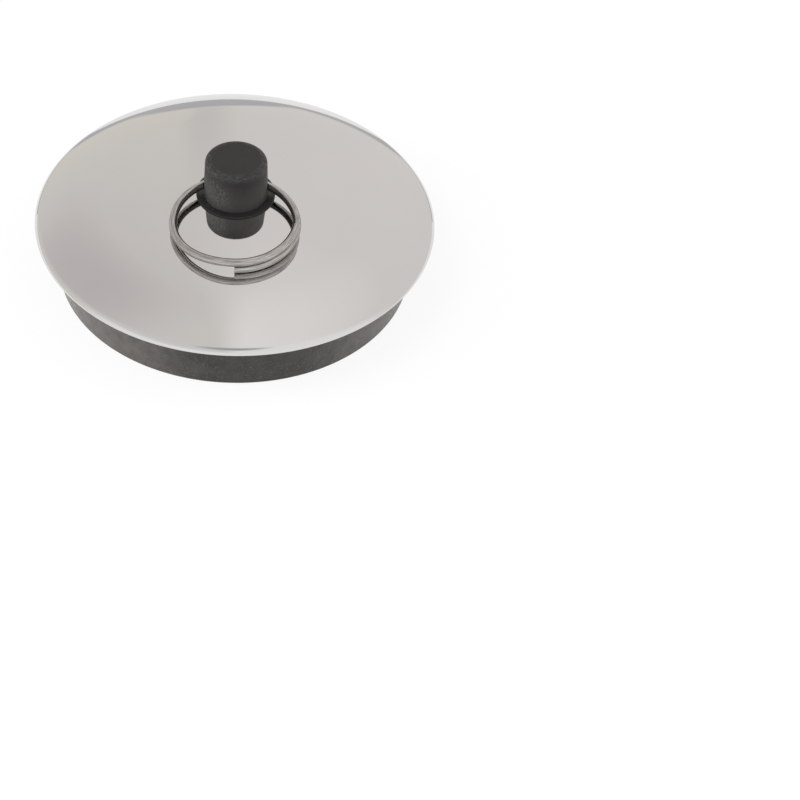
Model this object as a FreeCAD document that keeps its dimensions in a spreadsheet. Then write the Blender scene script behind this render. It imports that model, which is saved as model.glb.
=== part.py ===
import FreeCAD, Part
import math
import os
import Sketcher

# A drain stopper: a domed steel cover buttoned over the neck of a rubber plug, and a split
# ring of round wire that swings in an eye across the plug's knob.
# Frame: origin in the middle of the plug's underside, +Z up, the eye runs along X, and at
# rest the ring lies on the cover towards -Y. Lengths are in millimetres, angles in degrees.

# Driving dimensions: name, value, what it is
DIMENSIONS = [
    ("cover_diameter", 85.0, "across the cover's rim"),
    ("dome_radius", 200.0, "curve of the cover's crown, on top"),
    ("crown_diameter", 55.6, "where the crown passes into the steeper shoulder"),
    ("shoulder_radius", 40.0, "curve of the shoulder, on top"),
    ("rim_radius", 2.5, "curve of the rolled rim, on top"),
    ("rim_turn", 70.0, "slope of the rolled rim at its cut edge"),
    ("rim_edge_round", 0.2, "rounding of the rim's cut edge"),
    ("sheet_thickness", 0.7, "thickness of the cover's sheet"),
    ("land_height", 20.05, "top of the cover's flat land above the plug's underside"),
    ("neck_clearance", 0.1, "between the neck and the cover's hole, on the radius"),
    ("seat_margin", 0.5, "flat left outside the plug's raised seat, on the radius"),
    ("seat_gap", 0.2, "between the plug's domed top and the cover"),
    ("rim_overhang", 5.0, "cover's rim beyond the plug's straight side"),
    ("plug_round", 0.5, "rounding of the plug's lower outside edge"),
    ("shoulder_round", 0.5, "rounding of the plug's upper outside edge"),
    ("skirt_wall", 5.0, "thickness of the plug's skirt at its foot"),
    ("skirt_draft", 4.0, "slope of the skirt's inside"),
    ("skirt_round", 0.6, "rounding of the skirt's inner foot"),
    ("web_thickness", 4.0, "thickness of the plug's domed top"),
    ("recess_round", 3.0, "rounding of the recess's corner"),
    ("collar_flange", 1.55, "how far the collar stands out round the knob's foot"),
    ("collar_height", 0.3, "thickness of the collar"),
    ("collar_cover", 0.6, "how far the collar reaches beyond the cover's flat land"),
    ("collar_grip", 3.1, "how far the collar reaches beyond the edge of the cover's hole"),
    ("collar_round", 0.12, "rounding of the collar's upper edge"),
    ("knob_diameter", 13.6, "knob where it meets the collar"),
    ("knob_height", 9.4, "knob's top above the cover's land"),
    ("knob_draft", 1.7, "slope of the knob's side"),
    ("knob_round", 1.05, "rounding of the knob's top edge"),
    ("collar_gap", 1.225, "between the collar and the wire in the eye"),
    ("eye_setback", 0.9, "eye's axis behind the knob's axis"),
    ("eye_clearance", 0.23, "between the swinging wire and the eye, on the radius"),
    ("ring_diameter", 27.6, "outside of the split ring"),
    ("wire_diameter", 1.7, "ring's wire"),
    ("coil_gap", 0.42, "between the ring's two layers"),
    ("ring_overlap", 81.0, "how far the ring's ends pass each other"),
    ("ring_rest_gap", 0.15, "between the resting ring and the cover"),
]

# Derived sizes, as formulas on the sheet
PLUG_RADIUS = "(dims.cover_diameter / 2 - dims.rim_overhang)"
KNOB_RADIUS = "(dims.knob_diameter / 2)"
COLLAR_RADIUS = f"({KNOB_RADIUS} + dims.collar_flange)"
LAND_RADIUS = f"({COLLAR_RADIUS} - dims.collar_cover)"
HOLE_RADIUS = f"({COLLAR_RADIUS} - dims.collar_grip)"
NECK_RADIUS = f"({HOLE_RADIUS} - dims.neck_clearance)"
SEAT_RADIUS = f"({LAND_RADIUS} - dims.seat_margin)"
SEAT_HEIGHT = "(dims.land_height - dims.sheet_thickness)"
COLLAR_TOP = "(dims.land_height + dims.collar_height)"
CROWN_CENTRE = f"(dims.land_height - sqrt(dims.dome_radius ^ 2 - {LAND_RADIUS} ^ 2))"
CROWN_LEAN = "asin(dims.crown_diameter / 2 / dims.dome_radius)"
CENTRES_APART = "(dims.dome_radius - dims.shoulder_radius)"
TOP_DEPTH = "(dims.sheet_thickness + dims.seat_gap)"
RING_MIDDLE = "((dims.ring_diameter - dims.wire_diameter) / 2)"
EYE_SWEEP = f"(({RING_MIDDLE} - sqrt({RING_MIDDLE} ^ 2 - {KNOB_RADIUS} ^ 2)) / 2)"
EYE_RADIUS = f"({EYE_SWEEP} + dims.wire_diameter / 2 + dims.eye_clearance)"
EYE_HEIGHT = f"({COLLAR_TOP} + dims.collar_gap + dims.wire_diameter / 2)"

EDGE_TOLERANCE = 0.01

doc = FreeCAD.newDocument("drain_stopper")


def make_sheet():
    """Writes the driving dimensions to the document's sheet, one row each."""
    made = doc.addObject("Spreadsheet::Sheet", "dims")
    for row, (name, value, meaning) in enumerate(DIMENSIONS, start=1):
        made.set(f"A{row}", name)
        made.set(f"B{row}", str(value))
        made.setAlias(f"B{row}", name)
        made.set(f"C{row}", meaning)
    doc.recompute()
    return made


sheet = make_sheet()


def measure(formula):
    """The value of a formula on the sheet, as a plain number."""
    value = sheet.evalExpression(formula.replace("dims.", ""))
    return float(getattr(value, "Value", value))


class Outline:
    """A closed outline in a sketch, drawn edge by edge, each joined to the one before.
    In a sketch, element -1 is the horizontal axis, with the origin as its point 1, and element -2
    is the vertical axis. An edge's points 1 and 2 are its ends, and an arc's point 3 its centre."""

    def __init__(self, sketch):
        self.sketch = sketch
        self.edges = []

    def add(self, geometry, start, end, smooth):
        index = self.sketch.addGeometry(geometry, False)
        if self.edges:
            last, _, last_end = self.edges[-1]
            joint = "Tangent" if smooth else "Coincident"
            self.sketch.addConstraint(Sketcher.Constraint(joint, last, last_end, index, start))
        self.edges.append((index, start, end))
        return index

    def line(self, begin, finish):
        segment = Part.LineSegment(FreeCAD.Vector(*begin, 0), FreeCAD.Vector(*finish, 0))
        return self.add(segment, 1, 2, False)

    def arc(self, centre, begin, finish, smooth=False):
        """An arc of less than half a turn, drawn from begin to finish."""
        radius = math.dist(centre, begin)
        circle = Part.Circle(FreeCAD.Vector(*centre, 0), FreeCAD.Vector(0, 0, 1), radius)
        first = math.atan2(begin[1] - centre[1], begin[0] - centre[0])
        last = math.atan2(finish[1] - centre[1], finish[0] - centre[0])
        if last > first:
            return self.add(Part.ArcOfCircle(circle, first, last), 1, 2, smooth)
        return self.add(Part.ArcOfCircle(circle, last, first), 2, 1, smooth)

    def close(self):
        last, _, last_end = self.edges[-1]
        first, first_start, _ = self.edges[0]
        self.sketch.addConstraint(Sketcher.Constraint("Coincident", last, last_end, first, first_start))

    def tie(self, kind, *where):
        """A constraint with no size."""
        self.sketch.addConstraint(Sketcher.Constraint(kind, *where))

    def size(self, kind, *where_and_formula):
        """A constraint whose size follows a formula on the sheet."""
        where, formula = where_and_formula[:-1], where_and_formula[-1]
        value = measure(formula)
        if kind == "Angle":
            value = math.radians(value)
        index = self.sketch.addConstraint(Sketcher.Constraint(kind, *where, value))
        self.sketch.setExpression(f"Constraints[{index}]", formula)

    def flat(self, *edges):
        for edge in edges:
            self.tie("Horizontal", edge)

    def upright(self, *edges):
        for edge in edges:
            self.tie("Vertical", edge)

    def on_axis(self, edge, point):
        """Keeps an edge's point on the turning axis."""
        self.tie("PointOnObject", edge, point, -2)

    def on_base(self, edge, point):
        """Keeps an edge's point level with the origin."""
        self.tie("PointOnObject", edge, point, -1)

    def same_centre(self, arc, other_arc):
        self.tie("Coincident", arc, 3, other_arc, 3)

    def lean(self, edge, point, formula):
        """Sets how far an edge leans from upright, counted round from its given point."""
        self.size("Angle", -2, 1, edge, point, formula)

    def across(self, edge, point, formula):
        """Sets the radius of an edge's point, out from the turning axis."""
        self.size("DistanceX", -1, 1, edge, point, formula)

    def height(self, edge, point, formula):
        """Sets the height of an edge's point above the plug's underside."""
        self.size("DistanceY", -1, 1, edge, point, formula)


def new_sketch(body, name, plane_role):
    sketch = body.newObject("Sketcher::SketchObject", name)
    plane = [item for item in body.Origin.OriginFeatures if item.Role == plane_role][0]
    sketch.AttachmentSupport = (plane, [""])
    sketch.MapMode = "FlatFace"
    return sketch


def revolve(body, sketch, name):
    turned = body.newObject("PartDesign::Revolution", name)
    turned.Profile = sketch
    turned.ReferenceAxis = (sketch, ["V_Axis"])
    turned.Angle = 360
    doc.recompute()
    return turned


def round_edges(body, base, name, formula, places):
    """Rounds the circular edges that lie at the given (radius, height) places."""
    found = []
    for number, edge in enumerate(base.Shape.Edges, start=1):
        if edge.Degenerated or not isinstance(edge.Curve, Part.Circle):
            continue
        place = (edge.Curve.Radius, edge.Curve.Center.z)
        if any(math.dist(place, wanted) < EDGE_TOLERANCE for wanted in places):
            found.append(f"Edge{number}")
    if len(found) != len(places):
        raise RuntimeError(f"{name}: {len(found)} edges found for {len(places)} places")
    rounded = body.newObject("PartDesign::Fillet", name)
    rounded.Base = (base, found)
    rounded.setExpression("Radius", formula)
    doc.recompute()
    return rounded


def on_curve(centre, radius, lean):
    """The point of a profile arc whose normal leans this far out from upright (radians)."""
    return (centre[0] + radius * math.sin(lean), centre[1] + radius * math.cos(lean))


def cover_frame():
    """Centres and leans of the cover's crown, shoulder and rim arcs, as radius and height."""
    crown = (0.0, measure(CROWN_CENTRE))
    crown_lean = math.radians(measure(CROWN_LEAN))
    shoulder = on_curve(crown, measure(CENTRES_APART), crown_lean)
    turn = math.radians(measure("dims.rim_turn"))
    rim_radius = measure("dims.rim_radius")
    rim_out = measure("dims.cover_diameter") / 2 - rim_radius * math.sin(turn)
    reach = measure("dims.shoulder_radius") - rim_radius
    shoulder_lean = math.asin((rim_out - shoulder[0]) / reach)
    rim = on_curve(shoulder, reach, shoulder_lean)
    return crown, crown_lean, shoulder, shoulder_lean, rim, turn


def make_cover():
    """The steel cover: flat land, crown, shoulder and rolled rim, all of one sheet thickness."""
    crown, crown_lean, shoulder, shoulder_lean, rim, turn = cover_frame()
    thick = measure("dims.sheet_thickness")
    dome_radius = measure("dims.dome_radius")
    shoulder_radius = measure("dims.shoulder_radius")
    rim_radius = measure("dims.rim_radius")
    hole = measure(HOLE_RADIUS)
    land = measure(LAND_RADIUS)
    top = measure("dims.land_height")
    under = top - thick
    under_land = math.sqrt((dome_radius - thick) ** 2 - (under - crown[1]) ** 2)
    crown_end = on_curve(crown, dome_radius, crown_lean)
    shoulder_end = on_curve(shoulder, shoulder_radius, shoulder_lean)
    outer_edge = on_curve(rim, rim_radius, turn)
    inner_edge = on_curve(rim, rim_radius - thick, turn)
    shoulder_inside = on_curve(shoulder, shoulder_radius - thick, shoulder_lean)
    crown_inside = on_curve(crown, dome_radius - thick, crown_lean)

    body = doc.addObject("PartDesign::Body", "cover_plate")
    sketch = new_sketch(body, "cover_section", "XZ_Plane")
    outline = Outline(sketch)
    land_top = outline.line((hole, top), (land, top))
    crown_top = outline.arc(crown, (land, top), crown_end)
    shoulder_top = outline.arc(shoulder, crown_end, shoulder_end, smooth=True)
    rim_top = outline.arc(rim, shoulder_end, outer_edge, smooth=True)
    cut_edge = outline.line(outer_edge, inner_edge)
    rim_inside = outline.arc(rim, inner_edge, shoulder_inside)
    shoulder_under = outline.arc(shoulder, shoulder_inside, crown_inside, smooth=True)
    crown_under = outline.arc(crown, crown_inside, (under_land, under), smooth=True)
    land_under = outline.line((under_land, under), (hole, under))
    hole_wall = outline.line((hole, under), (hole, top))
    outline.close()

    outline.flat(land_top, land_under)
    outline.upright(hole_wall)
    outline.on_axis(crown_top, 3)
    outline.same_centre(crown_under, crown_top)
    outline.same_centre(shoulder_under, shoulder_top)
    outline.same_centre(rim_inside, rim_top)
    outline.tie("PointOnObject", rim_top, 3, cut_edge)
    outline.across(land_top, 1, HOLE_RADIUS)
    outline.across(land_top, 2, LAND_RADIUS)
    outline.height(land_top, 1, "dims.land_height")
    outline.height(land_under, 2, SEAT_HEIGHT)
    outline.size("Radius", crown_top, "dims.dome_radius")
    outline.size("Radius", crown_under, "dims.dome_radius - dims.sheet_thickness")
    outline.size("Radius", shoulder_top, "dims.shoulder_radius")
    outline.size("Radius", rim_top, "dims.rim_radius")
    outline.across(shoulder_top, 2, "dims.crown_diameter / 2")
    outline.across(cut_edge, 1, "dims.cover_diameter / 2")
    outline.lean(cut_edge, 2, "-dims.rim_turn")
    turned = revolve(body, sketch, "cover_turned")
    places = [outer_edge, inner_edge]
    round_edges(body, turned, "cover_edge_rounds", "dims.rim_edge_round", places)
    return body, [sketch]


def make_plug():
    """The rubber plug: hollow skirt, domed web, neck, collar and knob with the eye across it."""
    crown, crown_lean, shoulder, _, _, _ = cover_frame()
    depth = measure(TOP_DEPTH)
    top_crown_radius = measure("dims.dome_radius") - depth
    top_shoulder_radius = measure("dims.shoulder_radius") - depth
    ceiling_radius = top_crown_radius - measure("dims.web_thickness")
    side = measure(PLUG_RADIUS)
    foot = side - measure("dims.skirt_wall")
    slope = math.tan(math.radians(measure("dims.skirt_draft")))
    ceiling_edge = foot
    for _ in range(6):
        ceiling_height = crown[1] + math.sqrt(ceiling_radius ** 2 - ceiling_edge ** 2)
        ceiling_edge = foot - ceiling_height * slope
    side_top = shoulder[1] + math.sqrt(top_shoulder_radius ** 2 - (side - shoulder[0]) ** 2)
    top_join = on_curve(crown, top_crown_radius, crown_lean)
    seat = measure(SEAT_RADIUS)
    seat_height = measure(SEAT_HEIGHT)
    seat_foot = crown[1] + math.sqrt(top_crown_radius ** 2 - seat ** 2)
    neck = measure(NECK_RADIUS)
    land = measure("dims.land_height")
    collar = measure(COLLAR_RADIUS)
    collar_top = measure(COLLAR_TOP)
    knob = measure(KNOB_RADIUS)
    knob_top = land + measure("dims.knob_height")
    knob_edge = knob - (knob_top - collar_top) * math.tan(math.radians(measure("dims.knob_draft")))

    body = doc.addObject("PartDesign::Body", "rubber_plug")
    sketch = new_sketch(body, "plug_section", "XZ_Plane")
    outline = Outline(sketch)
    ceiling = outline.arc(crown, (0, crown[1] + ceiling_radius), (ceiling_edge, ceiling_height))
    skirt_inside = outline.line((ceiling_edge, ceiling_height), (foot, 0))
    underside = outline.line((foot, 0), (side, 0))
    skirt_outside = outline.line((side, 0), (side, side_top))
    top_shoulder = outline.arc(shoulder, (side, side_top), top_join)
    top_crown = outline.arc(crown, top_join, (seat, seat_foot), smooth=True)
    seat_step = outline.line((seat, seat_foot), (seat, seat_height))
    seat_face = outline.line((seat, seat_height), (neck, seat_height))
    neck_side = outline.line((neck, seat_height), (neck, land))
    collar_under = outline.line((neck, land), (collar, land))
    collar_side = outline.line((collar, land), (collar, collar_top))
    collar_face = outline.line((collar, collar_top), (knob, collar_top))
    knob_side = outline.line((knob, collar_top), (knob_edge, knob_top))
    knob_face = outline.line((knob_edge, knob_top), (0, knob_top))
    axis_line = outline.line((0, knob_top), (0, crown[1] + ceiling_radius))
    outline.close()

    outline.flat(seat_face, collar_under, collar_face, knob_face)
    outline.upright(skirt_outside, seat_step, neck_side, collar_side)
    outline.on_axis(axis_line, 1)
    outline.on_axis(axis_line, 2)
    outline.on_base(underside, 1)
    outline.on_base(underside, 2)
    outline.on_axis(ceiling, 3)
    outline.same_centre(top_crown, ceiling)
    outline.height(ceiling, 3, CROWN_CENTRE)
    outline.size("Radius", ceiling, f"dims.dome_radius - {TOP_DEPTH} - dims.web_thickness")
    outline.size("Radius", top_crown, f"dims.dome_radius - {TOP_DEPTH}")
    outline.across(top_shoulder, 3, f"{CENTRES_APART} * sin({CROWN_LEAN})")
    outline.height(top_shoulder, 3, f"{CROWN_CENTRE} + {CENTRES_APART} * cos({CROWN_LEAN})")
    outline.across(underside, 1, f"{PLUG_RADIUS} - dims.skirt_wall")
    outline.across(underside, 2, PLUG_RADIUS)
    outline.lean(skirt_inside, 1, "180 + dims.skirt_draft")
    outline.across(seat_step, 1, SEAT_RADIUS)
    outline.height(seat_face, 1, SEAT_HEIGHT)
    outline.across(neck_side, 1, NECK_RADIUS)
    outline.height(collar_under, 1, "dims.land_height")
    outline.across(collar_side, 1, COLLAR_RADIUS)
    outline.height(collar_side, 2, COLLAR_TOP)
    outline.across(knob_side, 1, KNOB_RADIUS)
    outline.lean(knob_side, 1, "dims.knob_draft")
    outline.height(knob_face, 1, "dims.land_height + dims.knob_height")
    turned = revolve(body, sketch, "plug_turned")

    last = round_edges(body, turned, "knob_top_round", "dims.knob_round", [(knob_edge, knob_top)])
    last = round_edges(body, last, "collar_round", "dims.collar_round", [(collar, collar_top)])
    last = round_edges(body, last, "side_foot_round", "dims.plug_round", [(side, 0)])
    last = round_edges(body, last, "side_top_round", "dims.shoulder_round", [(side, side_top)])
    last = round_edges(body, last, "skirt_foot_round", "dims.skirt_round", [(foot, 0)])
    corner = [(ceiling_edge, ceiling_height)]
    last = round_edges(body, last, "recess_corner_round", "dims.recess_round", corner)

    eye_sketch = new_sketch(body, "eye_section", "YZ_Plane")
    place = FreeCAD.Vector(measure("dims.eye_setback"), measure(EYE_HEIGHT), 0)
    circle = Part.Circle(place, FreeCAD.Vector(0, 0, 1), measure(EYE_RADIUS))
    eye = Outline(eye_sketch)
    eye_circle = eye.add(circle, 3, 3, False)
    eye.across(eye_circle, 3, "dims.eye_setback")
    eye.height(eye_circle, 3, EYE_HEIGHT)
    eye.size("Radius", eye_circle, EYE_RADIUS)
    solid_volume = last.Shape.Volume
    cut = body.newObject("PartDesign::Pocket", "eye_cut")
    cut.Profile = eye_sketch
    cut.SideType = "Two sides"
    cut.Type = "ThroughAll"
    cut.Type2 = "ThroughAll"
    doc.recompute()
    if cut.Shape.Volume > solid_volume - measure("dims.knob_diameter"):
        raise RuntimeError("the eye removes nothing from the knob")
    return body, [sketch, eye_sketch]


def biarc(begin, begin_way, finish, finish_way):
    """Two arcs that leave one point and reach another along the given unit directions."""
    chord = finish - begin
    ways = begin_way + finish_way
    square = 2 * (begin_way.dot(finish_way) - 1)
    linear = -2 * chord.dot(ways)
    constant = chord.dot(chord)
    leg = (-linear - math.sqrt(linear ** 2 - 4 * square * constant)) / (2 * square)
    if leg < 0:
        leg = (-linear + math.sqrt(linear ** 2 - 4 * square * constant)) / (2 * square)
    first_corner = begin + begin_way * leg
    last_corner = finish - finish_way * leg
    middle = (first_corner + last_corner) * 0.5
    arcs = []
    for start, corner, end in ((begin, first_corner, middle), (middle, last_corner, finish)):
        weight = (end - start).Length / (2 * leg)
        top = (start + end + corner * (2 * weight)) * (0.5 / (1 + weight))
        arcs.append(Part.Arc(start, top, end).toShape())
    return arcs


def ring_spine():
    """The wire's middle line, with the eye's axis along X at the origin and the ring towards -Y.
    The lower layer is flat from the front end round the back to the left, the wire climbs in the
    front left quarter, and the upper layer passes over the front end."""
    middle = measure(RING_MIDDLE)
    centre_back = middle - measure(EYE_SWEEP)
    climb = measure("dims.wire_diameter") + measure("dims.coil_gap")
    front, left = -90.0, 180.0
    front_again = front + 360.0
    stations = [front, 0.0, 90.0, left, front_again, front_again + measure("dims.ring_overlap")]
    points = []
    ways = []
    for station in stations:
        turn = math.radians(station)
        level = climb if station > left else 0.0
        points.append(FreeCAD.Vector(middle * math.cos(turn), middle * math.sin(turn) - centre_back, level))
        ways.append(FreeCAD.Vector(-math.sin(turn), math.cos(turn), 0))
    edges = []
    for number in range(len(stations) - 1):
        edges += biarc(points[number], ways[number], points[number + 1], ways[number + 1])
    return Part.Wire(edges), points[0], ways[0]


def spine_points(spine, spacing=0.5):
    """Points along the wire's middle line, in order, about evenly spaced."""
    points = []
    for edge in spine.OrderedEdges:
        points += edge.discretize(max(3, round(edge.Length / spacing)))[:-1]
    return points


def least_self_gap(points, wire):
    """The least gap between two layers of the wire, over points that are apart along it."""
    walked = [0.0]
    for before, after in zip(points, points[1:]):
        walked.append(walked[-1] + (after - before).Length)
    apart = 4 * wire
    gaps = [
        (points[i] - points[j]).Length - wire
        for i in range(len(points))
        for j in range(i)
        if walked[i] - walked[j] > apart
    ]
    return min(gaps)


def cover_gap(points, turn, hinge, crown):
    """The least gap between the cover's crown and the wire, with the ring turned about the eye."""
    spin = FreeCAD.Rotation(FreeCAD.Vector(1, 0, 0), turn)
    dome_centre = FreeCAD.Vector(0, 0, crown[1])
    least = min((hinge + spin.multVec(point) - dome_centre).Length for point in points)
    return least - measure("dims.dome_radius") - measure("dims.wire_diameter") / 2


def turn_to_rest(points, hinge, crown, clear_turn, low_turn):
    """The turn, between a clear one and a sunken one, that leaves the resting gap."""
    rest_gap = measure("dims.ring_rest_gap")
    for _ in range(50):
        middle = (clear_turn + low_turn) / 2
        if cover_gap(points, middle, hinge, crown) > rest_gap:
            clear_turn = middle
        else:
            low_turn = middle
    return clear_turn


def make_ring():
    """The split ring: one tube along the spine, turned down until it rests on the cover."""
    wire = measure("dims.wire_diameter")
    spine, start, way = ring_spine()
    section = Part.Wire(Part.Circle(start, way, wire / 2).toShape())
    tube = spine.makePipeShell([section], True, False)
    expected = math.pi * wire ** 2 / 4 * spine.Length
    print(f"ring wire {spine.Length:.2f} mm long, volume {tube.Volume:.2f} of {expected:.2f} mm3")
    points = spine_points(spine)
    print(f"least gap of the ring to itself {least_self_gap(points, wire):.3f} mm")
    crown = cover_frame()[0]
    hinge = FreeCAD.Vector(0, measure("dims.eye_setback"), measure(EYE_HEIGHT))
    rest = turn_to_rest(points, hinge, crown, -90.0, 60.0)
    over = turn_to_rest(points, hinge, crown, -90.0, -240.0)
    print(f"eye's axis at y {hinge.y:.3f} z {hinge.z:.3f}, eye radius {measure(EYE_RADIUS):.3f} mm")
    print(f"ring rests turned {rest:.3f} degrees down and swings back by {rest - over:.3f} degrees")
    ring = doc.addObject("Part::Feature", "split_ring")
    ring.Shape = tube
    ring.Placement = FreeCAD.Placement(hinge, FreeCAD.Rotation(FreeCAD.Vector(1, 0, 0), rest))
    return ring


def check(parts, sketches):
    """Stops if anything failed, is not one valid solid, or has a sketch left loose."""
    doc.recompute()
    for item in doc.Objects:
        if "Invalid" in item.State or "Error" in item.State:
            raise RuntimeError(f"{item.Name} failed: {item.State}")
    for sketch in sketches:
        if not sketch.FullyConstrained:
            raise RuntimeError(f"{sketch.Name} is not fully constrained")
    for part in parts:
        shape = part.Shape
        if shape.isNull() or not shape.isValid() or len(shape.Solids) != 1:
            raise RuntimeError(f"{part.Label} is not one valid solid")


cover_plate, cover_sketches = make_cover()
rubber_plug, plug_sketches = make_plug()
split_ring = make_ring()
parts = [cover_plate, rubber_plug, split_ring]
check(parts, cover_sketches + plug_sketches)

os.makedirs("parts", exist_ok=True)
for part in parts:
    part.Shape.exportStep(f"parts/{part.Label}.step")
    box = part.Shape.BoundBox
    print(f"{part.Label}: {part.Shape.Volume:.1f} mm3, z {box.ZMin:.3f} to {box.ZMax:.3f}")
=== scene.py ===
import math

import bmesh
import bpy
from mathutils import Matrix, Vector


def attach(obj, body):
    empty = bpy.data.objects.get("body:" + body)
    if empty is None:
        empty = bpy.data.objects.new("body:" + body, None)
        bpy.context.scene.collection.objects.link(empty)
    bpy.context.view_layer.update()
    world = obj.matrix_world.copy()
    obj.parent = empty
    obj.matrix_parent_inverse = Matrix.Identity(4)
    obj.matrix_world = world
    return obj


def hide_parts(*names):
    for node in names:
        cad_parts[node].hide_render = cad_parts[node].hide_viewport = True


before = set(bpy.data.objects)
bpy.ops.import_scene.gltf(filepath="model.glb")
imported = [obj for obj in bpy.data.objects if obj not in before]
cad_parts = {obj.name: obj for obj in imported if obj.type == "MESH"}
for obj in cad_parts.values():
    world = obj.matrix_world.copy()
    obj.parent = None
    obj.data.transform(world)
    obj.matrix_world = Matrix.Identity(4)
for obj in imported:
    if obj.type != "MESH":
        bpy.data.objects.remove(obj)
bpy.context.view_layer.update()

# A drain stopper on a white floor: mirror-polished cover, rubber plug with its knob, split ring.
# Sizes are in millimetres and follow the CAD source. They become metres where the meshes are made.

MM = 0.001

# Driving sizes of the cover's sheet
COVER_RADIUS = 42.5
DOME_RADIUS = 200.0
CROWN_RADIUS = 27.8
SHOULDER_RADIUS = 40.0
RIM_RADIUS = 2.5
RIM_TURN = math.radians(70.0)
EDGE_ROUND = 0.2
SHEET = 0.7
LAND_HEIGHT = 20.05

# Driving sizes of the rubber plug, with its collar and knob
RIM_OVERHANG = 5.0
PLUG_ROUND = 0.5
SHOULDER_ROUND = 0.5
SKIRT_WALL = 5.0
SKIRT_SLOPE = math.tan(math.radians(4.0))
SKIRT_ROUND = 0.6
WEB = 4.0
RECESS_ROUND = 3.0
NECK_CLEARANCE = 0.1
SEAT_MARGIN = 0.5
SEAT_GAP = 0.2
COLLAR_FLANGE = 1.55
COLLAR_HEIGHT = 0.3
COLLAR_COVER = 0.6
COLLAR_GRIP = 3.1
COLLAR_ROUND = 0.12
COLLAR_GAP = 1.225
KNOB_RADIUS = 6.8
KNOB_HEIGHT = 9.4
KNOB_SLOPE = math.tan(math.radians(1.7))
KNOB_ROUND = 1.05
EYE_SETBACK = 0.9
EYE_CLEARANCE = 0.23

# Driving sizes of the split ring, whose two layers lie closer together here than in the source
RING_RADIUS = 13.8
WIRE_RADIUS = 0.85
COIL_GAP = 0.25
RING_OVERLAP = math.radians(81.0)
END_EASE = 0.12

# Turn that lays the ring down on the cover, as the source works it out
RING_REST = math.radians(6.101)

# Narrowing of the wire's cut ends: shares of the eased length and of the wire's radius
END_SWELLS = ((0.0, 0.82), (0.35, 0.95))

# Sizes that follow from the driving ones
PLUG_RADIUS = COVER_RADIUS - RIM_OVERHANG
SKIRT_FOOT = PLUG_RADIUS - SKIRT_WALL
COLLAR_RADIUS = KNOB_RADIUS + COLLAR_FLANGE
COLLAR_TOP = LAND_HEIGHT + COLLAR_HEIGHT
KNOB_TOP = LAND_HEIGHT + KNOB_HEIGHT
LAND_RADIUS = COLLAR_RADIUS - COLLAR_COVER
LAND_UNDERSIDE = LAND_HEIGHT - SHEET
HOLE_RADIUS = COLLAR_RADIUS - COLLAR_GRIP
NECK_RADIUS = HOLE_RADIUS - NECK_CLEARANCE
SEAT_RADIUS = LAND_RADIUS - SEAT_MARGIN
RING_MIDDLE = RING_RADIUS - WIRE_RADIUS
RING_CLIMB = 2 * WIRE_RADIUS + COIL_GAP
EYE_SWEEP = (RING_MIDDLE - math.sqrt(RING_MIDDLE ** 2 - KNOB_RADIUS ** 2)) / 2
EYE_RADIUS = EYE_SWEEP + WIRE_RADIUS + EYE_CLEARANCE
EYE_HEIGHT = COLLAR_TOP + COLLAR_GAP + WIRE_RADIUS

# Facets of the turned pieces, the eye and the wire
LATHE_SEGMENTS = 320
CROWN_STEPS = 40
SHOULDER_STEPS = 48
RIM_STEPS = 30
EDGE_STEPS = 8
HIDDEN_CROWN_STEPS = 12
HIDDEN_SHOULDER_STEPS = 16
HIDDEN_RIM_STEPS = 16
CEILING_STEPS = 24
PLUG_SHOULDER_STEPS = 8
CORNER_STEPS = 8
EYE_SIDES = 64
WIRE_SIDES = 40
WIRE_STEPS = 420

# Edges that turn by more than this are shaded sharp
PLUG_CREASE = math.radians(32.0)
WIRE_CREASE = math.radians(40.0)

# Points closer than this, in millimetres, are one point
SAME_PLACE = 1e-6

# Straight stretch of the plug's domed top beside its rounded upper edge
SHOULDER_FLAT = 1.5

# Half the length of the tool that cuts the eye, longer than the knob is wide
CUTTER_HALF = 12.0

# Small turn, in radians, over which the wire's direction is measured
NUDGE = 1e-4

# Share of the wire's texture that a millimetre of its length takes up
TEXTURE_PER_MM = 0.1


# Meshes

def new_mesh(name, vertices, faces, smooth=True):
    mesh = bpy.data.meshes.new(name)
    mesh.from_pydata(vertices, [], faces)
    if smooth:
        mesh.polygons.foreach_set("use_smooth", [True] * len(faces))
    return mesh


def add_object(name, data):
    made = bpy.data.objects.new(name, data)
    bpy.context.scene.collection.objects.link(made)
    return made


def tube_faces(rows, sides):
    """Faces of a tube with closed ends, whose vertices go round it row by row."""
    faces = []
    for row in range(rows - 1):
        here, ahead = row * sides, (row + 1) * sides
        for side in range(sides):
            after = (side + 1) % sides
            faces.append([here + side, here + after, ahead + after, ahead + side])
    faces.append(list(range(sides))[::-1])
    faces.append(list(range((rows - 1) * sides, rows * sides)))
    return faces


# Turned profiles, made of (radius, height) points

def unit(vector):
    length = math.hypot(*vector)
    return (vector[0] / length, vector[1] / length)


def way_to(begin, finish):
    """The unit way from one point to another."""
    return unit((finish[0] - begin[0], finish[1] - begin[1]))


def toward(point, way, reach):
    """The point this far from another one along a way."""
    return (point[0] + way[0] * reach, point[1] + way[1] * reach)


def dot(first, second):
    return first[0] * second[0] + first[1] * second[1]


def lean_way(lean):
    """The way that leans this far out from upright."""
    return (math.sin(lean), math.cos(lean))


def lean_point(centre, radius, lean):
    """The point of a profile arc whose normal leans this far out from upright."""
    return toward(centre, lean_way(lean), radius)


def line_run(begin, finish, normal):
    """A straight run as (point, normal) pairs."""
    return [(begin, normal), (finish, normal)]


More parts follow.
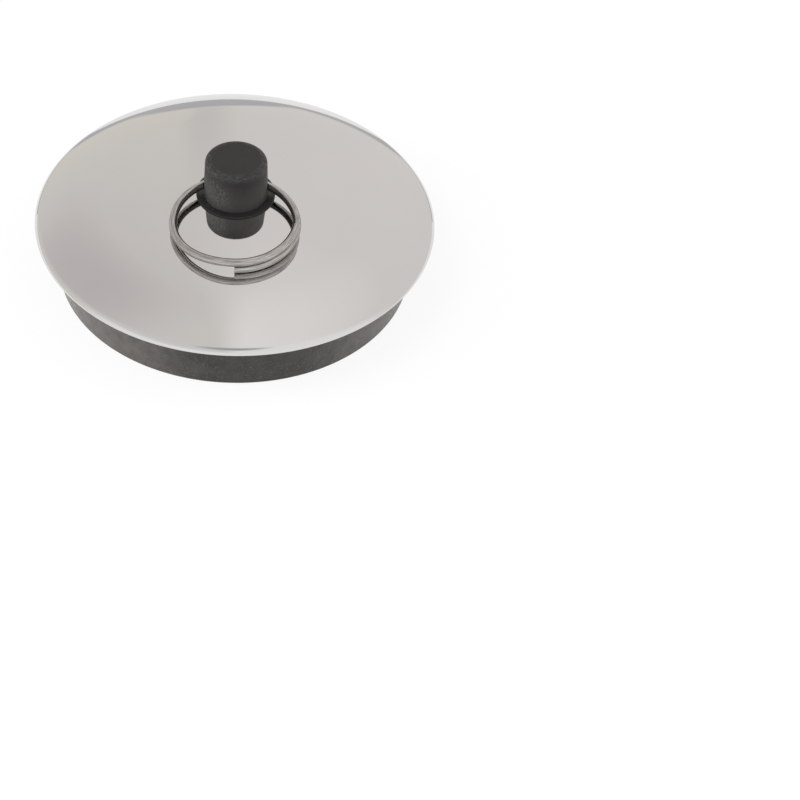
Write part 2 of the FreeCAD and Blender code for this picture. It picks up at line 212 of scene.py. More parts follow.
def arc_run(centre, radius, first, last, steps, side=1.0):
    """A smooth run of (point, normal) pairs along an arc, from one lean to another. The side is 1 where
    the surface faces away from the arc's centre, and -1 where it faces towards it."""
    run = []
    for step in range(steps + 1):
        way = lean_way(first + (last - first) * step / steps)
        run.append((toward(centre, way, radius), (side * way[0], side * way[1])))
    return run


def corner_round(before, here, after, radius):
    """Where the round of a corner begins and ends, and its centre."""
    back, ahead = way_to(here, before), way_to(here, after)
    half = math.acos(max(-1.0, min(1.0, dot(back, ahead)))) / 2
    cut = radius / math.tan(half)
    middle = unit((back[0] + ahead[0], back[1] + ahead[1]))
    centre = toward(here, middle, radius / math.sin(half))
    return toward(here, back, cut), toward(here, ahead, cut), centre


def round_run(entry, leave, centre, radius, normal):
    """The round of a corner, after a wall with this normal."""
    first = math.atan2(entry[1] - centre[1], entry[0] - centre[0])
    last = math.atan2(leave[1] - centre[1], leave[0] - centre[0])
    turn = (last - first + math.pi) % (2 * math.pi) - math.pi
    side = math.copysign(1.0, dot(way_to(centre, entry), normal))
    run = []
    for step in range(CORNER_STEPS + 1):
        angle = first + turn * step / CORNER_STEPS
        way = (math.cos(angle), math.sin(angle))
        run.append((toward(centre, way, radius), (side * way[0], side * way[1])))
    return run


def polyline_runs(corners, rounds):
    """Runs along straight walls through the corners, with each corner rounded by its radius.
    The section lies to the left of the walls, so their normals point right."""
    trimmed = [(corners[0], corners[0], None)]
    for before, here, after, radius in zip(corners, corners[1:], corners[2:], rounds[1:]):
        trimmed.append(corner_round(before, here, after, radius) if radius else (here, here, None))
    trimmed.append((corners[-1], corners[-1], None))
    runs = []
    for number in range(len(corners) - 1):
        begin = trimmed[number][1]
        entry, leave, centre = trimmed[number + 1]
        way = way_to(corners[number], corners[number + 1])
        normal = (way[1], -way[0])
        runs.append(line_run(begin, entry, normal))
        if centre:
            runs.append(round_run(entry, leave, centre, rounds[number + 1], normal))
    return runs


def section_strips(runs):
    """The points of a section in order, and its strips: two points' numbers and their two normals."""
    points = [runs[0][0][0]]
    strips = []
    for run in runs:
        for (_, begin_normal), (finish, finish_normal) in zip(run, run[1:]):
            strips.append((len(points) - 1, len(points), begin_normal, finish_normal))
            points.append(finish)
    if math.dist(points[0], points[-1]) < SAME_PLACE:
        points.pop()
    return points, [(first, last % len(points), *normals) for first, last, *normals in strips]


def turned(pair, angle):
    """A (radius, height) pair turned about Z."""
    return (pair[0] * math.cos(angle), pair[0] * math.sin(angle), pair[1])


def lathe(name, runs):
    """Turns a section about Z. Its runs are smooth, and it is closed or ends on the axis."""
    points, strips = section_strips(runs)
    angles = [2 * math.pi * segment / LATHE_SEGMENTS for segment in range(LATHE_SEGMENTS)]
    vertices = []
    rows = []
    for radius, height in points:
        start = len(vertices)
        if radius < SAME_PLACE:
            vertices.append((0.0, 0.0, height * MM))
            rows.append([start] * LATHE_SEGMENTS)
        else:
            vertices += [turned((radius * MM, height * MM), angle) for angle in angles]
            rows.append(range(start, start + LATHE_SEGMENTS))
    faces = []
    face_normals = []
    for first, last, first_normal, last_normal in strips:
        for segment in range(LATHE_SEGMENTS):
            after = (segment + 1) % LATHE_SEGMENTS
            normal_at = {}
            for row, turn, normal in (
                (first, segment, first_normal),
                (first, after, first_normal),
                (last, after, last_normal),
                (last, segment, last_normal),
            ):
                normal_at.setdefault(rows[row][turn], turned(normal, angles[turn]))
            corners = list(normal_at)
            if segment == 0:
                a, b, c = (Vector(vertices[corner]) for corner in corners[:3])
                inside_out = (b - a).cross(c - a).dot(Vector(normal_at[corners[0]])) < 0
            if inside_out:
                corners.reverse()
            faces.append(corners)
            face_normals += [normal_at[corner] for corner in corners]
    mesh = new_mesh(name, vertices, faces)
    mesh.normals_split_custom_set(face_normals)
    return add_object(name, mesh)


# Curves that the cover's sheet and the plug's top share

CROWN_CENTRE = (0.0, LAND_HEIGHT - math.sqrt(DOME_RADIUS ** 2 - LAND_RADIUS ** 2))
CROWN_LEAN = math.asin(CROWN_RADIUS / DOME_RADIUS)
SHOULDER_CENTRE = lean_point(CROWN_CENTRE, DOME_RADIUS - SHOULDER_RADIUS, CROWN_LEAN)
RIM_OUT = COVER_RADIUS - RIM_RADIUS * math.sin(RIM_TURN)
SHOULDER_LEAN = math.asin((RIM_OUT - SHOULDER_CENTRE[0]) / (SHOULDER_RADIUS - RIM_RADIUS))
RIM_CENTRE = lean_point(SHOULDER_CENTRE, SHOULDER_RADIUS - RIM_RADIUS, SHOULDER_LEAN)


# Cover

def eased_edge():
    """The rim's cut edge, from the sheet's outside to its inside, with both corners rounded."""
    out = lean_way(RIM_TURN)
    way = (out[1], -out[0])
    quarter = math.pi / 2
    run = []
    for radius, first in ((RIM_RADIUS - EDGE_ROUND, 0.0), (RIM_RADIUS - SHEET + EDGE_ROUND, quarter)):
        middle = toward(lean_point(RIM_CENTRE, radius, RIM_TURN), way, -EDGE_ROUND)
        for step in range(EDGE_STEPS + 1):
            angle = first + quarter * step / EDGE_STEPS
            across, along = math.cos(angle), math.sin(angle)
            normal = (out[0] * across + way[0] * along, out[1] * across + way[1] * along)
            run.append((toward(middle, normal, EDGE_ROUND), normal))
    return run


def make_cover():
    """The domed sheet: land, crown, shoulder and rolled rim, its cut edge eased by the polishing."""
    under_crown = DOME_RADIUS - SHEET
    under_shoulder = SHOULDER_RADIUS - SHEET
    under_rim = RIM_RADIUS - SHEET
    under_land = math.sqrt(under_crown ** 2 - (LAND_UNDERSIDE - CROWN_CENTRE[1]) ** 2)
    land_lean = math.asin(LAND_RADIUS / DOME_RADIUS)
    under_lean = math.asin(under_land / under_crown)
    rim_stop = RIM_TURN - EDGE_ROUND / RIM_RADIUS
    under_stop = RIM_TURN - EDGE_ROUND / under_rim
    land = line_run((HOLE_RADIUS, LAND_HEIGHT), (LAND_RADIUS, LAND_HEIGHT), (0.0, 1.0))
    sheet = arc_run(CROWN_CENTRE, DOME_RADIUS, land_lean, CROWN_LEAN, CROWN_STEPS)
    for arc in (
        (SHOULDER_CENTRE, SHOULDER_RADIUS, CROWN_LEAN, SHOULDER_LEAN, SHOULDER_STEPS),
        (RIM_CENTRE, RIM_RADIUS, SHOULDER_LEAN, rim_stop, RIM_STEPS),
    ):
        sheet += arc_run(*arc)[1:]
    sheet += eased_edge()
    for arc in (
        (RIM_CENTRE, under_rim, under_stop, SHOULDER_LEAN, HIDDEN_RIM_STEPS),
        (SHOULDER_CENTRE, under_shoulder, SHOULDER_LEAN, CROWN_LEAN, HIDDEN_SHOULDER_STEPS),
        (CROWN_CENTRE, under_crown, CROWN_LEAN, under_lean, HIDDEN_CROWN_STEPS),
    ):
        sheet += arc_run(*arc, side=-1.0)[1:]
    underside = line_run((under_land, LAND_UNDERSIDE), (HOLE_RADIUS, LAND_UNDERSIDE), (0.0, -1.0))
    hole = line_run((HOLE_RADIUS, LAND_UNDERSIDE), (HOLE_RADIUS, LAND_HEIGHT), (-1.0, 0.0))
    return lathe("cover_dome", [land, sheet, underside, hole])


# Plug

def recess_edge(ceiling_radius):
    """Where the recess's domed ceiling meets the skirt's sloping wall, closed in on step by step."""
    edge = SKIRT_FOOT
    closing_steps = 6
    for _ in range(closing_steps):
        height = CROWN_CENTRE[1] + math.sqrt(ceiling_radius ** 2 - edge ** 2)
        edge = SKIRT_FOOT - height * SKIRT_SLOPE
    return (edge, height)


def make_plug():
    """The rubber moulding, turned in one piece, still without its eye."""
    top_crown = DOME_RADIUS - SHEET - SEAT_GAP
    top_shoulder = SHOULDER_RADIUS - SHEET - SEAT_GAP
    ceiling_radius = top_crown - WEB
    ceiling_corner = recess_edge(ceiling_radius)
    ceiling_lean = math.asin((ceiling_corner[0] - RECESS_ROUND) / ceiling_radius)
    side_lean = math.asin((PLUG_RADIUS - SHOULDER_CENTRE[0]) / top_shoulder)
    top_lean = math.asin((PLUG_RADIUS - SHOULDER_FLAT - SHOULDER_CENTRE[0]) / top_shoulder)
    seat_lean = math.asin(SEAT_RADIUS / top_crown)
    knob_edge = KNOB_RADIUS - (KNOB_TOP - COLLAR_TOP) * KNOB_SLOPE
    skirt = [
        (lean_point(CROWN_CENTRE, ceiling_radius, ceiling_lean), 0),
        (ceiling_corner, RECESS_ROUND),
        ((SKIRT_FOOT, 0.0), SKIRT_ROUND),
        ((PLUG_RADIUS, 0.0), PLUG_ROUND),
        ((PLUG_RADIUS, lean_point(SHOULDER_CENTRE, top_shoulder, side_lean)[1]), SHOULDER_ROUND),
        (lean_point(SHOULDER_CENTRE, top_shoulder, top_lean), 0),
    ]
    knob = [
        (lean_point(CROWN_CENTRE, top_crown, seat_lean), 0),
        ((SEAT_RADIUS, LAND_UNDERSIDE), 0),
        ((NECK_RADIUS, LAND_UNDERSIDE), 0),
        ((NECK_RADIUS, LAND_HEIGHT), 0),
        ((COLLAR_RADIUS, LAND_HEIGHT), 0),
        ((COLLAR_RADIUS, COLLAR_TOP), COLLAR_ROUND),
        ((KNOB_RADIUS, COLLAR_TOP), 0),
        ((knob_edge, KNOB_TOP), KNOB_ROUND),
        ((0.0, KNOB_TOP), 0),
    ]
    ceiling = arc_run(CROWN_CENTRE, ceiling_radius, 0.0, ceiling_lean, CEILING_STEPS, side=-1.0)
    top = arc_run(SHOULDER_CENTRE, top_shoulder, top_lean, CROWN_LEAN, PLUG_SHOULDER_STEPS)
    top += arc_run(CROWN_CENTRE, top_crown, CROWN_LEAN, seat_lean, HIDDEN_CROWN_STEPS)[1:]
    runs = [ceiling, *polyline_runs(*zip(*skirt)), top, *polyline_runs(*zip(*knob))]
    return lathe("plug_moulding", runs)


def cut_eye(plug):
    """Cuts the cross hole through the knob and keeps the result as the plug's own mesh."""
    vertices = []
    for x in (-CUTTER_HALF, CUTTER_HALF):
        for side in range(EYE_SIDES):
            angle = 2 * math.pi * side / EYE_SIDES
            y = EYE_SETBACK + EYE_RADIUS * math.cos(angle)
            z = EYE_HEIGHT + EYE_RADIUS * math.sin(angle)
            vertices.append((x * MM, y * MM, z * MM))
    cutter_mesh = new_mesh("eye_cutter", vertices, tube_faces(2, EYE_SIDES), smooth=False)
    cutter = add_object("eye_cutter", cutter_mesh)
    cut = plug.modifiers.new("eye", "BOOLEAN")
    cut.object = cutter
    cut.operation = "DIFFERENCE"
    cut.solver = "EXACT"
    graph = bpy.context.evaluated_depsgraph_get()
    uncut = plug.data
    plug.data = bpy.data.meshes.new_from_object(plug.evaluated_get(graph))
    plug.modifiers.clear()
    bpy.data.meshes.remove(uncut)
    bpy.data.objects.remove(cutter)
    bpy.data.meshes.remove(cutter_mesh)
    plug.data.name = plug.name
    plug.data.polygons.foreach_set("use_smooth", [True] * len(plug.data.polygons))
    plug.data.set_sharp_from_angle(angle=PLUG_CREASE)


# Split ring

def ring_point(turn):
    """The wire's middle line in the ring's own frame: eye's axis along X at the origin."""
    left, front_again = math.pi, 1.5 * math.pi
    share = min(1.0, max(0.0, (turn - left) / (front_again - left)))
    level = RING_CLIMB * share * share * (3 - 2 * share)
    y = RING_MIDDLE * math.sin(turn) - (RING_MIDDLE - EYE_SWEEP)
    return Vector((RING_MIDDLE * math.cos(turn), y, level))


def wire_stations():
    """Turns along the wire from end to end, each with the share of the wire's radius there."""
    first, last = -math.pi / 2, 1.5 * math.pi + RING_OVERLAP
    ease = END_EASE / RING_MIDDLE
    turns = [first + (last - first) * step / WIRE_STEPS for step in range(WIRE_STEPS + 1)]
    stations = [(first + ease * share, swell) for share, swell in END_SWELLS]
    stations += [(turn, 1.0) for turn in turns if first + ease <= turn <= last - ease]
    stations += [(last - ease * share, swell) for share, swell in reversed(END_SWELLS)]
    return stations


def lay_texture(mesh, stations):
    """Runs the wire's texture along it in U and round it in V."""
    layer = mesh.uv_layers.new(name="along_wire")
    for polygon in mesh.polygons:
        wraps = polygon.index % WIRE_SIDES == WIRE_SIDES - 1
        for loop_index in polygon.loop_indices:
            row, side = divmod(mesh.loops[loop_index].vertex_index, WIRE_SIDES)
            along = stations[row][0] * RING_MIDDLE * TEXTURE_PER_MM
            around = 1.0 if wraps and side == 0 else side / WIRE_SIDES
            layer.data[loop_index].uv = (along, around)


def make_ring():
    """The split ring's wire as one tube, its cut ends slightly eased."""
    stations = wire_stations()
    place = Matrix.Translation(Vector((0, EYE_SETBACK, EYE_HEIGHT))) @ Matrix.Rotation(RING_REST, 4, "X")
    vertices = []
    for turn, swell in stations:
        point = ring_point(turn)
        way = (ring_point(turn + NUDGE) - ring_point(turn - NUDGE)).normalized()
        out = Vector((math.cos(turn), math.sin(turn), 0))
        out = (out - way * out.dot(way)).normalized()
        up = way.cross(out)
        for side in range(WIRE_SIDES):
            angle = 2 * math.pi * side / WIRE_SIDES
            offset = (out * math.cos(angle) + up * math.sin(angle)) * (WIRE_RADIUS * swell)
            vertices.append(place @ (point + offset) * MM)
    mesh = new_mesh("ring_wire", vertices, tube_faces(len(stations), WIRE_SIDES))
    lay_texture(mesh, stations)
    mesh.set_sharp_from_angle(angle=WIRE_CREASE)
    return add_object("ring_wire", mesh)


# Materials

class Nodes:
    """Short calls for building a node tree. An input takes a socket, a number, a vector or a colour."""

    def __init__(self, tree):
        self.tree = tree
        tree.nodes.clear()

    def add(self, kind, inputs=None, **settings):
        node = self.tree.nodes.new(kind)
        for key, value in settings.items():
            setattr(node, key, value)
        for key, value in (inputs or {}).items():
            socket = node.inputs[key]
            if isinstance(value, bpy.types.NodeSocket):
                self.tree.links.new(value, socket)
            elif socket.type == "RGBA":
                socket.default_value = (*value, 1.0)
            else:
                socket.default_value = value
        return node

    def place(self, kind="Object"):
        return self.add("ShaderNodeTexCoord").outputs[kind]

    def split(self, vector):
        return self.add("ShaderNodeSeparateXYZ", {"Vector": vector}).outputs

    def noise(self, vector, scale, detail, roughness):
        values = {"Vector": vector, "Scale": scale, "Detail": detail, "Roughness": roughness}
        return self.add("ShaderNodeTexNoise", values).outputs["Fac"]

    def ramp(self, factor, stops):
        """Runs through (position, grey level or colour) stops."""
        node = self.add("ShaderNodeValToRGB", {"Fac": factor})
        elements = node.color_ramp.elements
        while len(elements) < len(stops):
            elements.new(0.5)
        for element, (position, colour) in zip(elements, stops):
            element.position = position
            element.color = (*colour, 1.0) if isinstance(colour, tuple) else (colour, colour, colour, 1.0)
        return node.outputs["Color"]

    def rise(self, value, low, high):
        """Runs smoothly from 0 at the low value to 1 at the high one, or back where low is above high."""
        limits = {"Value": value, "From Min": min(low, high), "From Max": max(low, high)}
        limits["To Min"], limits["To Max"] = (0.0, 1.0) if low < high else (1.0, 0.0)
        return self.add("ShaderNodeMapRange", limits, interpolation_type="SMOOTHSTEP").outputs["Result"]

    def mix(self, factor, first, second):
        return self.add("ShaderNodeMix", {0: factor, 6: first, 7: second}, data_type="RGBA").outputs[2]

    def math(self, operation, first, second):
        return self.add("ShaderNodeMath", {0: first, 1: second}, operation=operation).outputs[0]

    def vector(self, operation, *vectors, output="Vector"):
        node = self.add("ShaderNodeVectorMath", dict(enumerate(vectors)), operation=operation)
        return node.outputs[output]

    def measure(self, operation, *vectors):
        """A number that vectors give, such as a length or a dot product."""
        return self.vector(operation, *vectors, output="Value")

    def bump(self, height, strength, distance):
        values = {"Height": height, "Strength": strength, "Distance": distance}
        return self.add("ShaderNodeBump", values).outputs["Normal"]

    def glow(self, colour):
        return self.add("ShaderNodeEmission", {"Color": colour, "Strength": 1.0}).outputs["Emission"]

    def blend(self, factor, first, second):
        return self.add("ShaderNodeMixShader", {0: factor, 1: first, 2: second}).outputs["Shader"]

    def finish(self, surface, kind="ShaderNodeOutputMaterial"):
        self.add(kind, {"Surface": surface})

    def finish_principled(self, values):
        self.finish(self.add("ShaderNodeBsdfPrincipled", values).outputs["BSDF"])


def new_material(name):
    material = bpy.data.materials.new(name)
    material.use_nodes = True
    return material, Nodes(material.node_tree)


# Factors that take the height out of a place
LEVEL = (1.0, 1.0, 0.0)

# Way where the plug's body is painted darkest, a little to the right of the front
DARK_FRONT_TURN = math.radians(8.0)
DARK_FRONT_WAY = (math.sin(DARK_FRONT_TURN), -math.cos(DARK_FRONT_TURN), 0.0)

# Middle of the speckled patch, on the left of the knob's front, in metres
SPECKLED_PLACE = (-4.6 * MM, -4.8 * MM, (LAND_HEIGHT + 4.2) * MM)

# Height, under the cover, where the knob's rubber gives way to the body's dust-clouded rubber with its
# painted side light
DUST_TOP = LAND_HEIGHT - 1.5

# Noise of the rubber's uneven gloss
MOTTLE = {"scale": 230.0, "detail": 5.0, "roughness": 0.65}


def polished_steel():
    """Mirror polish with a faint handling haze."""
    material, nodes = new_material("polished_steel")
    clear, dull = (0.705, 0.695, 0.69), (0.685, 0.677, 0.672)
    place = nodes.place()
    haze = nodes.noise(place, scale=38.0, detail=4.0, roughness=0.55)
    grain = nodes.noise(place, scale=900.0, detail=2.0, roughness=0.5)
    values = {
        "Base Color": nodes.mix(nodes.ramp(haze, [(0.35, 0.0), (0.7, 1.0)]), clear, dull),
        "Metallic": 1.0,
        "Roughness": nodes.ramp(haze, [(0.3, 0.02), (0.8, 0.055)]),
        "Normal": nodes.bump(grain, strength=0.01, distance=0.02 * MM),
    }
    nodes.finish_principled(values)
    return material


def rubber_skin(nodes, place, mottle):
    """The finely grained, matt skin of the moulding."""
    grain = nodes.noise(place, scale=3000.0, detail=3.0, roughness=0.6)
    return {
        "Roughness": nodes.ramp(mottle, [(0.3, 0.46), (0.7, 0.6)]),
        "Specular IOR Level": 0.5,
        "Normal": nodes.bump(grain, strength=0.25, distance=0.1 * MM),
    }


def moulded_rubber():
    """Black rubber of the knob and its collar: painted paler towards the knob's foot as painted light,
    speckled on the left of its front, and scuffed round its top edge, the scuffs partly a painted
    highlight."""
    material, nodes = new_material("moulded_rubber")
    deep_black, soft_black = (0.004, 0.0039, 0.0037), (0.0075, 0.0072, 0.007)
    foot_painted_light, collar_black = (0.044, 0.0425, 0.041), (0.009, 0.0087, 0.0084)
    speck_grey, scuff_and_highlight_grey = (0.092, 0.09, 0.086), (0.037, 0.036, 0.035)
    painted_light_heights = ((KNOB_TOP + 1.5) * MM, (COLLAR_TOP + 0.5) * MM)
    collar_heights = ((COLLAR_TOP + 0.1) * MM, COLLAR_TOP * MM)
    speckled_radii = (5.2 * MM, 1.4 * MM)
    scuff_and_highlight_heights = ((KNOB_TOP - 2.0) * MM, (KNOB_TOP - 1.0) * MM)
    scuff_and_highlight_radii = (5.0 * MM, 5.7 * MM)
    place = nodes.place()
    height = nodes.split(place)["Z"]
    mottle = nodes.noise(place, **MOTTLE)
    colour = nodes.mix(mottle, deep_black, soft_black)
    # Painted light: the knob is painted paler towards its foot, standing in for light that the mirrored
    # cover throws back.
    colour = nodes.mix(nodes.rise(height, *painted_light_heights), colour, foot_painted_light)
    colour = nodes.mix(nodes.rise(height, *collar_heights), colour, collar_black)

    specks = nodes.noise(place, scale=3300.0, detail=2.0, roughness=0.5)
    specks = nodes.ramp(specks, [(0.52, 0.0), (0.64, 1.0)])
    near = nodes.rise(nodes.measure("DISTANCE", place, SPECKLED_PLACE), *speckled_radii)
    colour = nodes.mix(nodes.math("MULTIPLY", specks, near), colour, speck_grey)

    # The scuffs round the top edge are partly wear and partly a painted highlight along that rounded edge.
    flattened = nodes.vector("MULTIPLY", place, (1.0, 1.0, 2.5))
    rubs = nodes.noise(flattened, scale=1300.0, detail=4.0, roughness=0.7)
    rubs = nodes.ramp(rubs, [(0.42, 0.0), (0.66, 1.0)])
    reach = nodes.measure("LENGTH", nodes.vector("MULTIPLY", place, LEVEL))
    edge = nodes.math("MULTIPLY", nodes.rise(height, *scuff_and_highlight_heights), nodes.rise(reach, *scuff_and_highlight_radii))
    colour = nodes.mix(nodes.math("MULTIPLY", edge, rubs), colour, scuff_and_highlight_grey)

    nodes.finish_principled({"Base Color": colour, **rubber_skin(nodes, place, mottle)})
    return material


def dust_and_side_light_rubber():
    """Rubber of the plug's body, clouded and flecked with dust, and painted paler on its sides than at its
    front: painted side light and sheen."""
    material, nodes = new_material("dust_and_side_light_rubber")
    thin_dust_and_side_light, thick_dust_and_side_light = (0.043, 0.039, 0.036), (0.088, 0.08, 0.074)
    front_black, front_grey = (0.008, 0.0067, 0.0058), (0.032, 0.027, 0.024)
    fleck_grey = (0.088, 0.083, 0.078)
    side_light_edge, raggedness = (0.77, 0.97), 0.04
    place = nodes.place()
    mottle = nodes.noise(place, **MOTTLE)
    cloud = nodes.noise(place, scale=420.0, detail=6.0, roughness=0.7)
    cloud = nodes.ramp(cloud, [(0.3, 0.0), (0.72, 1.0)])
    dust_and_side_light = nodes.mix(cloud, thin_dust_and_side_light, thick_dust_and_side_light)
    front_colour = nodes.mix(cloud, front_black, front_grey)
    # Painted light: the sides are painted paler than the front, standing in for side light and sheen; the
    # dust clouds and flecks are real.
    outward = nodes.vector("NORMALIZE", nodes.vector("MULTIPLY", place, LEVEL))
    facing = nodes.measure("DOT_PRODUCT", outward, DARK_FRONT_WAY)
    facing = nodes.math("SUBTRACT", facing, nodes.math("MULTIPLY", cloud, raggedness))
    colour = nodes.mix(nodes.rise(facing, *side_light_edge), dust_and_side_light, front_colour)
    flecks = nodes.noise(place, scale=3200.0, detail=3.0, roughness=0.6)
    flecks = nodes.ramp(flecks, [(0.54, 0.0), (0.7, 0.7)])
    values = {
        "Base Color": nodes.mix(flecks, colour, fleck_grey),
        "Sheen Weight": 0.85,
        "Sheen Roughness": 0.35,
        "Sheen Tint": (1.0, 0.97, 0.94),
        **rubber_skin(nodes, place, mottle),
    }
    nodes.finish_principled(values)
    return material


def drawn_wire():
    """Bright drawn steel, with die lines along the wire."""
    material, nodes = new_material("drawn_wire")
    dark, bright = (0.27, 0.257, 0.244), (0.58, 0.558, 0.535)
    stretch = {"Vector": nodes.place("UV"), "Scale": (3.0, 40.0, 1.0)}
    stretched = nodes.add("ShaderNodeMapping", stretch).outputs["Vector"]
    streaks = nodes.noise(stretched, scale=1.0, detail=3.0, roughness=0.6)
    values = {
        "Base Color": nodes.mix(nodes.ramp(streaks, [(0.36, 0.0), (0.62, 1.0)]), dark, bright),
        "Metallic": 1.0,
        "Roughness": nodes.ramp(streaks, [(0.3, 0.12), (0.7, 0.22)]),
        "Normal": nodes.bump(streaks, strength=0.2, distance=0.06 * MM),
    }
    nodes.finish_principled(values)
    return material


# Stage: floor, world, mirrored room, lamps and camera, in metres

WHITE = (1.0, 1.0, 1.0)
FLOOR_HALF = 2.5
FLOOR_GREY = (0.85, 0.85, 0.85)
FLOOR_GLOW = 0.88
WORLD_LIGHT = 0.75
STUDIO_RADIUS = 2.2


def seen_rays(nodes):
    """1 for rays that show things, straight, mirrored or through glass, and 0 for those that light them."""
    rays = nodes.add("ShaderNodeLightPath").outputs
    seen = nodes.math("MAXIMUM", rays["Is Camera Ray"], rays["Is Glossy Ray"])
    return nodes.math("MAXIMUM", seen, rays["Is Transmission Ray"])


def show_in_mirrors_only(stage_object):
    stage_object.visible_camera = False
    stage_object.visible_diffuse = False
    stage_object.visible_shadow = False


def make_floor():
    """A floor that looks nearly white and keeps a faint shadow."""
    half = FLOOR_HALF
    corners = [(-half, -half, 0), (half, -half, 0), (half, half, 0), (-half, half, 0)]
    floor = add_object("floor", new_mesh("floor", corners, [[0, 1, 2, 3]], smooth=False))
    material, nodes = new_material("floor_white")
    matt = nodes.add("ShaderNodeBsdfDiffuse", {"Color": FLOOR_GREY}).outputs["BSDF"]
    share = nodes.math("MULTIPLY", seen_rays(nodes), FLOOR_GLOW)
    nodes.finish(nodes.blend(share, matt, nodes.glow(WHITE)))
    floor.data.materials.append(material)


def make_world():
    """Even white light, and plain white where the world itself is seen."""
    world = bpy.data.worlds.new("studio")
    bpy.context.scene.world = world
    world.use_nodes = True
    nodes = Nodes(world.node_tree)
    light = nodes.add("ShaderNodeBackground", {"Color": WHITE, "Strength": WORLD_LIGHT}).outputs[0]
    white = nodes.add("ShaderNodeBackground", {"Color": WHITE, "Strength": 1.0}).outputs[0]
    nodes.finish(nodes.blend(seen_rays(nodes), light, white), "ShaderNodeOutputWorld")


def aim(side, elevation):
    """A direction by degrees: round from the back (+Y) towards the right, and up from level."""
    side, elevation = math.radians(side), math.radians(elevation)
    return (math.sin(side) * math.cos(elevation), math.cos(side) * math.cos(elevation), math.sin(elevation))


def back_wall(nodes, way, left):
    """Pale on the right, greyer towards the upper left corner, with an upright between them."""
    across, _, up = nodes.split(way)
    low_wall, wall, ceiling = (0.82, 0.795, 0.775), (0.83, 0.8, 0.785), (0.955, 0.925, 0.915)
    right_back = nodes.ramp(up, [(0.0, low_wall), (0.32, wall), (0.75, wall), (1.0, ceiling)])
    grey_corner = nodes.measure("DOT_PRODUCT", way, aim(side=-56.0, elevation=48.0))
    tones = [
        (0.64, (0.8, 0.77, 0.715)),
        (0.84, (0.765, 0.738, 0.712)),
        (0.9, (0.74, 0.71, 0.695)),
        (0.955, (0.685, 0.653, 0.645)),
        (1.0, (0.635, 0.605, 0.6)),
    ]
    back = nodes.mix(left, right_back, nodes.ramp(grey_corner, tones))
    upright_grey, upright_strength = (0.7, 0.675, 0.665), 0.7
    left_edge, right_edge, top_edge = (-0.095, -0.06), (0.01, -0.05), (0.75, 0.4)
    upright = nodes.math("MULTIPLY", nodes.rise(across, *left_edge), nodes.rise(across, *right_edge))
    upright = nodes.math("MULTIPLY", upright, nodes.rise(up, *top_edge))
    return nodes.mix(nodes.math("MULTIPLY", upright, upright_strength), back, upright_grey)


def front_wall(nodes, way, left):
    """White low down and greyer higher up, above all on the left."""
    up = nodes.split(way)["Z"]
    right_front = nodes.ramp(up, [(0.0, 1.0), (0.25, 1.0), (0.5, 0.97), (0.8, 0.96)])
    left_front = nodes.ramp(up, [(0.0, 1.0), (0.35, 1.0), (0.6, 0.8), (0.8, 0.76)])
    return nodes.mix(left, right_front, left_front)


def make_studio():
    """The room that the metal mirrors: a back wall, a front wall, and a soft shade over the front."""
    mesh = bpy.data.meshes.new("studio")
    shell = bmesh.new()
    bmesh.ops.create_uvsphere(shell, u_segments=96, v_segments=48, radius=STUDIO_RADIUS)
    shell.to_mesh(mesh)
    shell.free()
    mesh.polygons.foreach_set("use_smooth", [True] * len(mesh.polygons))
    studio = add_object("studio", mesh)
    show_in_mirrors_only(studio)
    material, nodes = new_material("studio_walls")
    shade_grey = (0.45, 0.45, 0.45)
    left_edge, front_edge, shade_edge = (0.07, -0.1), (0.05, -0.45), (0.96, 0.999)
    way = nodes.vector("NORMALIZE", nodes.place())
    across, ahead, _ = nodes.split(way)
    left = nodes.rise(across, *left_edge)
    in_front = nodes.rise(ahead, *front_edge)
    walls = nodes.mix(in_front, back_wall(nodes, way, left), front_wall(nodes, way, left))
    overhead = nodes.measure("DOT_PRODUCT", way, aim(side=180.0, elevation=62.0))
    walls = nodes.mix(nodes.rise(overhead, *shade_edge), walls, shade_grey)
    nodes.finish(nodes.glow(walls))
    mesh.materials.append(material)


def make_board():
    """A low board bent round behind the object, which the back of the dome mirrors as a dark band:
    a grey foot along the floor and a grey hump near its middle. The rest is as pale as the walls."""
    half_width, depth, tall = 0.1, 0.245, 0.06
    bend, steps = math.radians(150.0), 40
    vertices = []
    for step in range(steps + 1):
        turn = bend * (step / steps - 0.5)
        x, y = half_width * math.sin(turn), depth * math.cos(turn)
        vertices += [(x, y, 0.0), (x, y, tall)]
    faces = [[2 * step, 2 * step + 2, 2 * step + 3, 2 * step + 1] for step in range(steps)]
    board = add_object("board", new_mesh("board", vertices, faces, smooth=False))
    show_in_mirrors_only(board)
    material, nodes = new_material("board_grey")
    hump_middle, hump_half, hump_tall, hump_edge = (-0.012, 0.0, 0.0), 0.055, 0.056, (0.95, 0.7)
    foot_edge, solid_edge = (0.0155, 0.0115), (0.022, 0.017)
    pale, grey = (0.79, 0.765, 0.735), (0.54, 0.54, 0.555)
    place = nodes.place()
    height = nodes.split(place)["Z"]
    moved = nodes.vector("SUBTRACT", place, hump_middle)
    spread = nodes.vector("MULTIPLY", moved, (1 / hump_half, 0.0, 1 / hump_tall))
    hump = nodes.rise(nodes.measure("LENGTH", spread), *hump_edge)
    foot = nodes.rise(height, *foot_edge)
    shade = nodes.mix(nodes.math("MAXIMUM", hump, foot), pale, grey)
    solid = nodes.math("MAXIMUM", hump, nodes.rise(height, *solid_edge))
    clear = nodes.add("ShaderNodeBsdfTransparent").outputs["BSDF"]
    nodes.finish(nodes.blend(solid, clear, nodes.glow(shade)))
    board.data.materials.append(material)


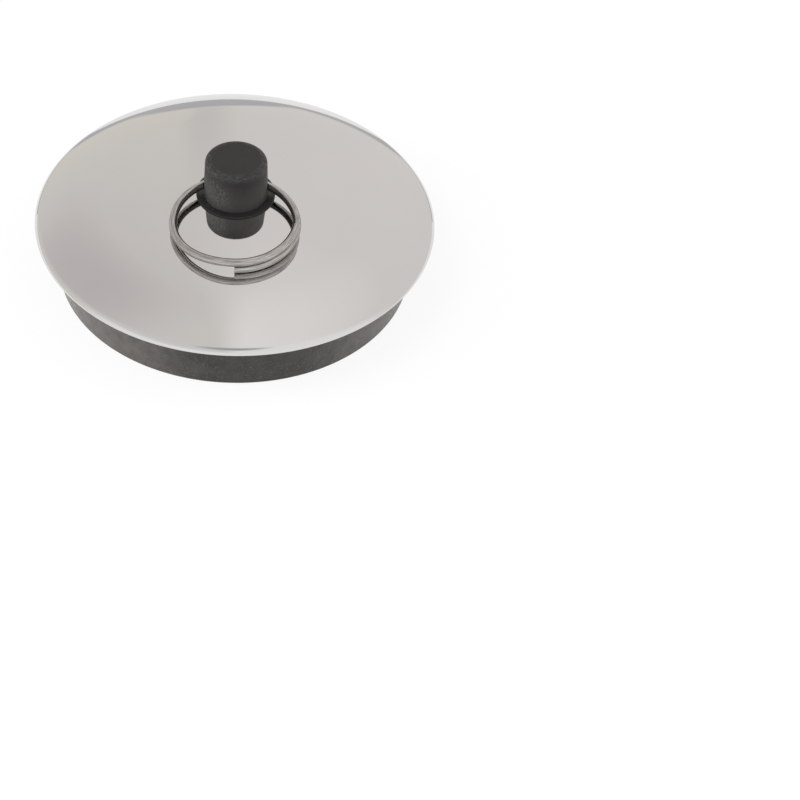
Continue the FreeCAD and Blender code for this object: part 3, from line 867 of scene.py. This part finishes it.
def make_lamp(name, place, target, size, power):
    """A round soft lamp that the metal doesn't mirror."""
    data = bpy.data.lights.new(name, "AREA")
    data.shape = "DISK"
    data.size = size
    data.energy = power
    lamp = add_object(name, data)
    lamp.location = place
    lamp.rotation_mode = "QUATERNION"
    lamp.rotation_quaternion = (Vector(target) - Vector(place)).to_track_quat("-Z", "Y")
    lamp.visible_glossy = False


# Camera, in pixels of the frame and in metres, with the rim's middle at its place in both
FRAME_PIXELS = 800.0
FOCAL_PIXELS = 3625.0
RIM_PIXEL = (235.2, 220.7)
CAMERA_DISTANCE = 0.773
CAMERA_ELEVATION = math.radians(40.6)
CAMERA_ROLL = math.radians(1.1)
RIM_PLACE = Vector((0, 0, lean_point(RIM_CENTRE, RIM_RADIUS, RIM_TURN)[1] * MM))


def make_camera():
    """Looks down on the cover from the front, with the rim's middle at its pixel of the frame."""
    data = bpy.data.cameras.new("camera")
    data.sensor_width = 36.0
    data.lens = data.sensor_width * FOCAL_PIXELS / FRAME_PIXELS
    data.clip_start = 0.01
    data.clip_end = 20.0
    camera = add_object("camera", data)
    back = Vector((0, -math.cos(CAMERA_ELEVATION), math.sin(CAMERA_ELEVATION)))
    camera.location = RIM_PLACE + back * CAMERA_DISTANCE
    level = (-back).to_track_quat("-Z", "Y").to_matrix()
    rolled = level @ Matrix.Rotation(CAMERA_ROLL, 3, "Z")
    half = FRAME_PIXELS / 2
    ray = Vector((RIM_PIXEL[0] - half, half - RIM_PIXEL[1], -FOCAL_PIXELS)).normalized()
    aimed = rolled @ ray.rotation_difference(Vector((0, 0, -1))).to_matrix()
    camera.rotation_mode = "QUATERNION"
    camera.rotation_quaternion = aimed.to_quaternion()
    bpy.context.scene.camera = camera


# The object's pieces

cover = make_cover()
cover.data.materials.append(polished_steel())
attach(cover, "stopper")
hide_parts("cover_plate")

plug = make_plug()
cut_eye(plug)
plug.data.materials.append(moulded_rubber())
plug.data.materials.append(dust_and_side_light_rubber())
for polygon in plug.data.polygons:
    polygon.material_index = 1 if polygon.center.z < DUST_TOP * MM else 0
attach(plug, "stopper")
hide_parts("rubber_plug")

ring = make_ring()
ring.data.materials.append(drawn_wire())
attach(ring, "ring")
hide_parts("split_ring")

# The stage

make_floor()
make_world()
make_studio()
make_board()
make_lamp("key", place=(-0.5, -0.3, 0.9), target=(0, 0, 0.02), size=0.6, power=3.2)
make_lamp("left", place=(-0.6, -0.1, 0.2), target=(0, 0, 0.01), size=0.4, power=3.0)
make_lamp("right", place=(0.6, 0.0, 0.2), target=(0, 0, 0.01), size=0.4, power=2.2)
make_camera()
bpy.context.scene.view_settings.view_transform = "Standard"
